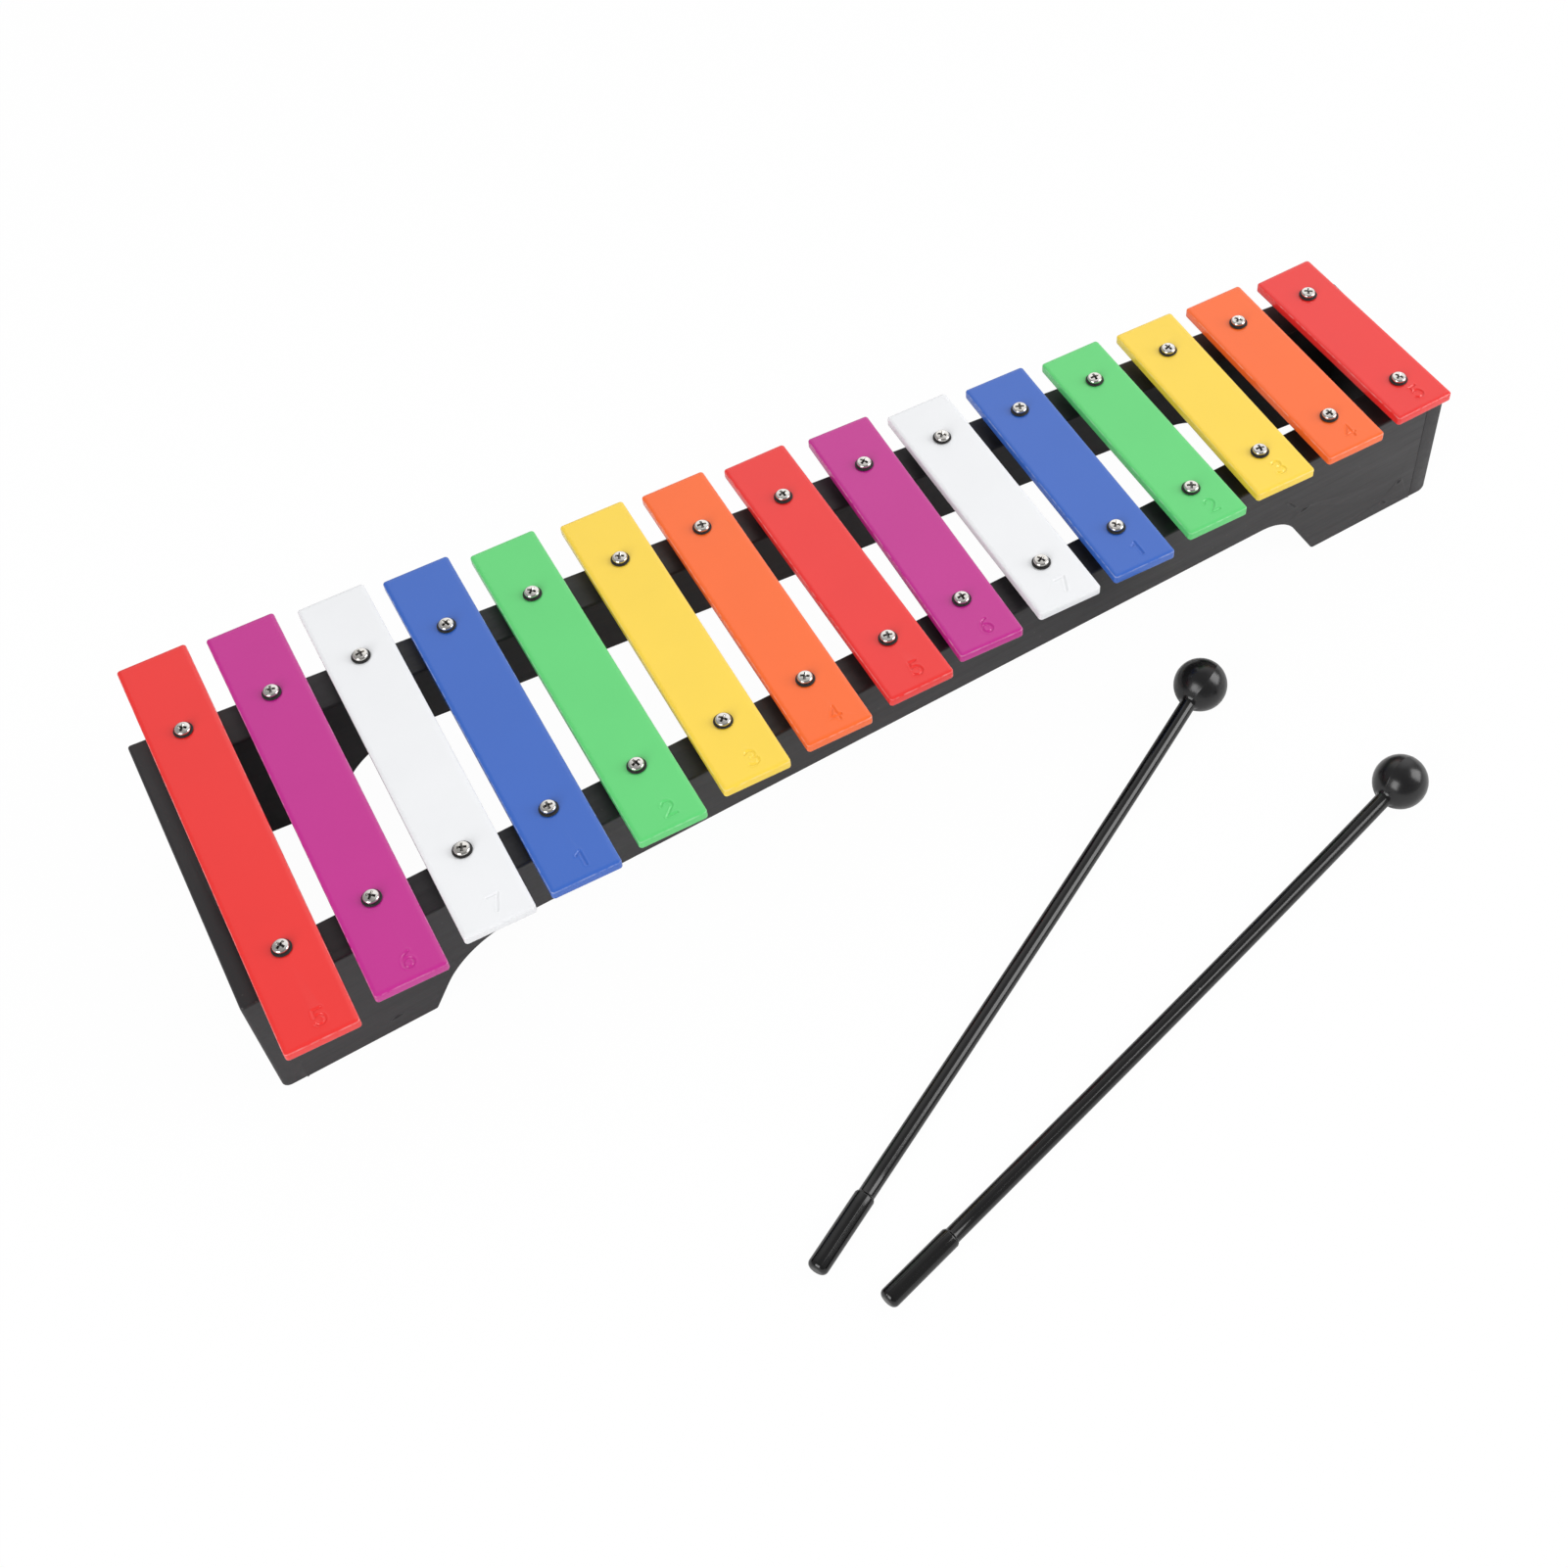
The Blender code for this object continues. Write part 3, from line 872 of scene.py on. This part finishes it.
screws = {
    "headBase": 7.25 * mm,
    "headHeight": 1.33 * mm,
    "headRadius": 2.2 * mm,
    "crown": 0.72,  # share of the radius that is a low dome
    "crownFall": 0.14,  # shares of the height
    "cheekFall": 0.42,
    "brim": 0.12 * mm,
    "brimIn": 0.1 * mm,
    "shank": 1.1 * mm,
    "taperFrom": -10.5 * mm,
    "tip": (0.5 * mm, -12.8 * mm),
    "bottom": -14 * mm,
    "steps": 64,
    "recessSpan": 2.7 * mm,
    "recessWidth": 0.75 * mm,
    # height from the head's top, and shares of span and width there
    "recessLevels": ((0.3 * mm, 1.06, 1.06), (-0.15 * mm, 1.0, 1.0), (-0.95 * mm, 0.5, 0.7)),
    "recessRound": 0.07 * mm,
    "recessSharp": 38,  # degrees
    # painted shade and dirt in the recess: share of the span, depth in mm where it starts, and gain per mm
    "shadeAndDirtReach": 0.54,
    "shadeAndDirtFrom": 0.1,
    "shadeAndDirtGain": 3,
    # how the screws stand: turns in radians, lean in degrees
    "turnStep": 1.9,
    "turnSide": {"front": -1, "back": 1},
    "lean": 0.8,
    "leanStep": 2.3,
}
grommets = {
    "foot": 4 * mm,
    "footHeight": 3.7 * mm,
    "footRound": 0.45 * mm,
    "neck": 2 * mm,
    "neckRound": 0.2 * mm,
    "lip": 2.75 * mm,
    "lipBase": 7.03 * mm,
    "lipTop": 7.25 * mm,
    "lipRound": 0.15 * mm,
    "steps": 48,
}


def recessCutter(top):
    # four tapered wings that shorten towards the bottom of the recess
    bm = bmesh.new()
    loops = []
    for height, span, width in screws["recessLevels"]:
        long, wide = screws["recessSpan"] / 2 * span, screws["recessWidth"] / 2 * width
        points = []
        for k in range(4):
            c, s = math.cos(k * math.pi / 2), math.sin(k * math.pi / 2)
            wing = [(wide, wide), (wide, long), (-wide, long)]
            points += [(x * c - y * s, x * s + y * c) for x, y in wing]
        loops.append([bm.verts.new((x, y, top + height)) for x, y in points])
    skinRings(bm, loops)
    bm.faces.new(loops[0])
    bm.faces.new(loops[-1])
    return closeMesh("recess", bm, nickel)


def screwMesh():
    base, tall, r, shank = (screws[k] for k in ("headBase", "headHeight", "headRadius", "shank"))
    top, crown = base + tall, r * screws["crown"]
    crownSteps, cheekSteps = 6, 8

    def crownHeight(out):
        return top - tall * screws["crownFall"] * (out / crown) ** 2

    def cheek(a):
        fall = screws["crownFall"] + screws["cheekFall"] * (1 - math.cos(a))
        return crown + (r - crown) * math.sin(a), top - tall * fall

    profile = [(crown * k / crownSteps, crownHeight(crown * k / crownSteps)) for k in range(crownSteps + 1)]
    profile += [cheek(math.pi / 2 * k / cheekSteps) for k in range(1, cheekSteps + 1)]
    profile += [(r, base + screws["brim"]), (r - screws["brimIn"], base), (shank, base)]
    profile += [(shank, screws["taperFrom"]), screws["tip"], (0, screws["bottom"])]
    even = [(2 * math.pi * k / screws["steps"], 0, 0) for k in range(screws["steps"])]
    body = addObject("screwBody", turned("pan_head_screw", profile, nickel, lambda radius: even))
    cutter = addObject("screwRecess", recessCutter(top))
    cut = body.modifiers.new("recess", "BOOLEAN")
    cut.object = cutter
    cut.solver = "EXACT"
    soft = body.modifiers.new("soft rim", "BEVEL")
    soft.width = screws["recessRound"]
    soft.segments = 2
    soft.limit_method = "ANGLE"
    soft.angle_limit = math.radians(screws["recessSharp"])
    mesh = bpy.data.meshes.new_from_object(body.evaluated_get(bpy.context.evaluated_depsgraph_get()))
    for item in (body, cutter):
        bpy.data.objects.remove(item)
    mesh.name = "pan_head_screw"
    # marks the recess for the painted shade and dirt; deeper is darker
    shadeAndDirt = mesh.attributes.new("shadeAndDirt", "FLOAT", "POINT")
    for vertex in mesh.vertices:
        out = vertex.co.xy.length
        sunk = (crownHeight(out) - vertex.co.z) / mm - screws["shadeAndDirtFrom"]
        if out < screws["recessSpan"] * screws["shadeAndDirtReach"] and vertex.co.z > base:
            shadeAndDirt.data[vertex.index].value = min(1, max(0, sunk) * screws["shadeAndDirtGain"])
    shadeSoft(mesh)
    return mesh


def grommetMesh():
    g = grommets
    bendSteps = 5

    def bend(radius, z, size, start, end):
        return list(arcPoints((radius, z), (size, size), start, end, bendSteps))

    bead, soft = (g["lipTop"] - g["lipBase"]) / 2, g["footRound"]
    profile = [(screws["shank"], g["lipTop"]), (g["lip"] - bead, g["lipTop"])]
    profile += bend(g["lip"] - bead, g["lipBase"] + bead, bead, 80, -80)
    profile += [(g["neck"] + g["lipRound"], g["lipBase"]), (g["neck"], g["lipBase"] - g["neckRound"])]
    profile += [(g["neck"], g["footHeight"] + g["neckRound"]), (g["neck"] + g["neckRound"], g["footHeight"])]
    profile += bend(g["foot"] - soft, g["footHeight"] - soft, soft, 90, 0)
    profile += bend(g["foot"] - soft, soft, soft, 0, -90)
    profile.append((screws["shank"], 0))
    bm = bmesh.new()
    angles = [2 * math.pi * k / g["steps"] for k in range(g["steps"])]
    rings = [[bm.verts.new((r * math.cos(a), r * math.sin(a), z)) for a in angles] for r, z in profile]
    skinRings(bm, rings + rings[:1])
    return closeMesh("rubber_grommet", bm, rubber, sharp=50)


screwShape, grommetShape = screwMesh(), grommetMesh()
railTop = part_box("rail_front")[1].z
for side in ("front", "back"):
    for i in range(barCount):
        node = f"screw_{side}_{i + 1:02d}"
        middle = middleOf(node)
        spot = sitsAt(i) @ Matrix.Translation((middle.x, middle.y, railTop))
        turn = screws["turnStep"] * i + screws["turnSide"][side]
        tilt = screws["lean"] * math.sin(screws["leanStep"] * i + turn)
        lean = Matrix.Rotation(math.radians(tilt), 4, "X")
        headed = placedCopy(screwShape, spot @ lean @ Matrix.Rotation(turn, 4, "Z"))
        screw = showPiece(f"pan_head_{side}_{i + 1:02d}", headed, "frame")
        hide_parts(node)
        seated = placedCopy(grommetShape, spot @ Matrix.Rotation(turn * 2, 4, "Z"))
        showPiece(f"grommet_{side}_{i + 1:02d}", seated, "frame")
print("screws and grommets done")


# mallets

mallets = {
    "ball": 7.91 * mm,
    "stick": 2.33 * mm,
    "grip": 2.85 * mm,
    "gripLength": 23.4 * mm,
    "reach": 209.3 * mm,  # from the ball's middle to the grip's end
    "throat": 1.2 * mm,  # small hollow where the ball runs into the stick
    "throatWidth": 0.55,  # share of its length
    "stickFrom": 2 * mm,  # below the throat
    # the step up to the grip: out from the stick and above the grip's top
    "gripStep": ((0, 0.5 * mm), (0.12 * mm, 0.1 * mm), (0.3 * mm, 0)),
    "gripRound": 0.55 * mm,
    "gripSide": 18 * mm,
    "endRound": 1.5 * mm,
    "seamWidth": 0.16 * mm,
    "seamWidest": 0.2,  # radians
    "seamHeight": 0.09 * mm,
    # across the seam in widths, share of the height, and wear
    "seam": ((-2.2, 0, 0.05), (-1, 0.35, 0.25), (0, 1, 0.5), (1, 0.35, 0.25), (2.2, 0, 0.05)),
    "bow": 2.1 * mm,  # the sticks sag between the ball and the grip
    "bowFrom": 6 * mm,
    "bowSkew": 0.75,
    "mattReach": 1.02,  # in ball radii: the ball's mould is etched, so it is duller than the stick
    "spots": {  # x, y, heading and the seam's turn in degrees
        "mallet_rear": (86.4 * mm, -63 * mm, 29.29, 205),
        "mallet_front": (115.8 * mm, -120.8 * mm, 16.78, 169),
    },
}


def seamPoints(radius):
    # even points round the axis, with a fine raised mould seam at two opposite sides
    evenSteps = 22
    narrow = min(mallets["seamWidth"] / radius, mallets["seamWidest"])
    points = []
    for half in (0, math.pi):
        for at, share, wear in mallets["seam"]:
            points.append((half + at * narrow, mallets["seamHeight"] * share, wear))
        first, last = points[-1][0], half + math.pi + mallets["seam"][0][0] * narrow
        points += [(first + (last - first) * k / evenSteps, 0, 0) for k in range(1, evenSteps)]
    return points


def malletMesh():
    ball, stick, grip, reach = (mallets[k] for k in ("ball", "stick", "grip", "reach"))
    throat, rounded, soft = mallets["throat"], mallets["gripRound"], mallets["endRound"]
    ballSteps, throatSteps, stickSteps, gripSteps = 48, 5, 24, 6
    gripTop = mallets["gripLength"] - reach
    neck = -math.degrees(math.acos((stick + throat * mallets["throatWidth"]) / ball))
    profile = [(0, ball)]
    profile += list(arcPoints((0, 0), (ball, ball), 90, neck, ballSteps))[1:]
    neckRadius, neckZ = profile[-1]
    for share in (k / throatSteps for k in range(1, throatSteps + 1)):
        profile.append((stick + (neckRadius - stick) * (1 - share) ** 2, neckZ - throat * share))
    start, stop = profile[-1][1] - mallets["stickFrom"], gripTop + mallets["gripStep"][0][1]
    profile += [(stick, start + (stop - start) * k / stickSteps) for k in range(stickSteps + 1)]
    profile += [(stick + out, gripTop + up) for out, up in mallets["gripStep"][1:]]
    profile += list(arcPoints((grip - rounded, gripTop - rounded), (rounded, rounded), 80, 0, 5))
    for k in range(1, gripSteps + 1):
        profile.append((grip, gripTop - rounded - mallets["gripSide"] * k / gripSteps))
    profile += list(arcPoints((grip - soft, soft - reach), (soft, soft), 0, -90, 8))
    profile.append((0, -reach))
    mesh = turned("moulded_mallet", profile, plastic, seamPoints, sharp=60)
    matt = mesh.attributes.new("matt", "FLOAT", "POINT")
    for vertex in mesh.vertices:
        matt.data[vertex.index].value = 1 if vertex.co.length < ball * mallets["mattReach"] else 0
    return mesh


malletShape = malletMesh()
dip = math.asin((mallets["ball"] - mallets["grip"]) / mallets["reach"])
for node, (x, y, heading, seamTurn) in mallets["spots"].items():
    spot = Matrix.Translation((x, y + frameMiddle, mallets["ball"] + mallets["seamHeight"]))
    aim = Matrix.Rotation(math.radians(heading), 4, "Z") @ Matrix.Rotation(math.pi / 2 - dip, 4, "Y")
    laid = placedCopy(malletShape, Matrix.Rotation(math.radians(seamTurn), 4, "Z"))
    for vertex in laid.vertices:
        along = (-vertex.co.z - mallets["bowFrom"]) / (mallets["reach"] - mallets["bowFrom"])
        sag = math.sin(math.pi * min(1, max(0, along)) ** mallets["bowSkew"])
        vertex.co.x += mallets["bow"] * sag
    laid.transform(spot @ aim)
    piece = showPiece("moulded_" + node, laid, node)
    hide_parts(node)
print("mallets done")


# stage, light and camera

white = (1, 1, 1, 1)
studio = {
    "floorHalf": 6,  # half its side, in metres
    "floorGrey": (0.9, 0.9, 0.9, 1),
    "floorGlow": 0.975,  # share of plain white the camera sees, so that only a faint shadow is left
    "mirrorGlow": 0.1,
    "tent": 0.42,
    "backGlow": 0.95,  # the tent's wall behind on the right is lit more
    "backFrom": (0.4864, 0.6947, 0.5299),
    "backEdge": 0.7,  # cosine of the angle where that light ends
    "frontDim": 0.14,  # and the open side, towards the camera, less
    "frontFrom": (-0.3, -0.75, 0.59),
    "frontEdge": 0.4,
    "boxes": {  # where from, width, height, radiance
        "right softbox": ((0.783, -0.349, 0.515), 0.9, 1.05, 4.7),
        "left softbox": ((-0.772, -0.376, 0.505), 0.78, 1.0, 5.4),
    },
    "boxDistance": 1.5,
    "boxAim": (0, 0, 0.03),
}
view = {
    "place": (-0.165308, -0.315791, 0.521279),
    "turn": (35.80151, 1.97396, -29.11446),  # degrees
    "lens": 50.1936,
    "sensor": 36,
    "shift": (-0.077718, -0.01957),
    "clip": (0.01, 50),
}


def lightPath(tree):
    return tree.nodes.new("ShaderNodeLightPath").outputs


def makeFloor():
    bm = bmesh.new()
    bmesh.ops.create_grid(bm, x_segments=8, y_segments=8, size=studio["floorHalf"])
    mesh = bpy.data.meshes.new("floor")
    bm.to_mesh(mesh)
    bm.free()
    material = bpy.data.materials.new("white floor")
    material.use_nodes = True
    tree = material.node_tree
    tree.nodes.clear()
    ray = lightPath(tree)
    matt = addNode(tree, "ShaderNodeBsdfDiffuse", {"Color": studio["floorGrey"]})
    glow = addNode(tree, "ShaderNodeEmission", {"Color": white, "Strength": 1.0})
    seen = calc(tree, "MULTIPLY", ray["Is Camera Ray"], studio["floorGlow"])
    mirrored = calc(tree, "MAXIMUM", ray["Is Glossy Ray"], ray["Is Transmission Ray"])
    share = calc(tree, "MULTIPLY_ADD", mirrored, studio["mirrorGlow"], seen)
    mix = addNode(tree, "ShaderNodeMixShader", {0: share, 1: matt.outputs[0], 2: glow.outputs[0]})
    addNode(tree, "ShaderNodeOutputMaterial", {"Surface": mix.outputs[0]})
    mesh.materials.append(material)
    addObject("floor", mesh)


def makeTent():
    world = bpy.data.worlds.new("light tent")
    bpy.context.scene.world = world
    world.use_nodes = True
    tree = world.node_tree
    tree.nodes.clear()
    skyPoint = addNode(tree, "ShaderNodeTexCoord").outputs["Generated"]
    way = addNode(tree, "ShaderNodeVectorMath", {0: skyPoint}, operation="NORMALIZE").outputs[0]

    def patch(kind, low, high):
        # from low away from the patch to high at its middle
        towards = Vector(studio[kind + "From"]).normalized()
        facing = addNode(tree, "ShaderNodeVectorMath", {0: way, 1: towards}, operation="DOT_PRODUCT")
        limits = (studio[kind + "Edge"], 1)
        return mapRange(tree, facing.outputs["Value"], limits, (low, high), interpolation_type="SMOOTHSTEP")

    bright = patch("back", studio["tent"], studio["tent"] + studio["backGlow"])
    level = calc(tree, "SUBTRACT", bright, patch("front", 0, studio["frontDim"]))
    lit = addNode(tree, "ShaderNodeBackground", {"Color": white, "Strength": level}).outputs[0]
    plain = addNode(tree, "ShaderNodeBackground", {"Color": white, "Strength": 1.0}).outputs[0]
    mix = addNode(tree, "ShaderNodeMixShader", {0: lightPath(tree)["Is Camera Ray"], 1: lit, 2: plain})
    addNode(tree, "ShaderNodeOutputWorld", {"Surface": mix.outputs[0]})


def makeSoftboxes():
    for name, (direction, width, height, radiance) in studio["boxes"].items():
        lamp = bpy.data.lights.new(name, "AREA")
        lamp.shape = "RECTANGLE"
        lamp.size, lamp.size_y = width, height
        lamp.energy = math.pi * radiance * width * height
        box = addObject(name, lamp)
        way = Vector(direction).normalized()
        box.location = Vector(studio["boxAim"]) + way * studio["boxDistance"]
        box.rotation_euler = way.to_track_quat("Z", "Y").to_euler()


def makeCamera():
    lens = bpy.data.cameras.new("camera")
    lens.sensor_width = view["sensor"]
    lens.lens = view["lens"]
    lens.shift_x, lens.shift_y = view["shift"]
    lens.clip_start, lens.clip_end = view["clip"]
    camera = addObject("camera", lens)
    camera.location = view["place"]
    camera.rotation_euler = [math.radians(a) for a in view["turn"]]
    bpy.context.scene.camera = camera


makeFloor()
makeTent()
makeSoftboxes()
makeCamera()
bpy.context.scene.view_settings.view_transform = "Standard"
print("stage done")

bpy.context.view_layer.update()
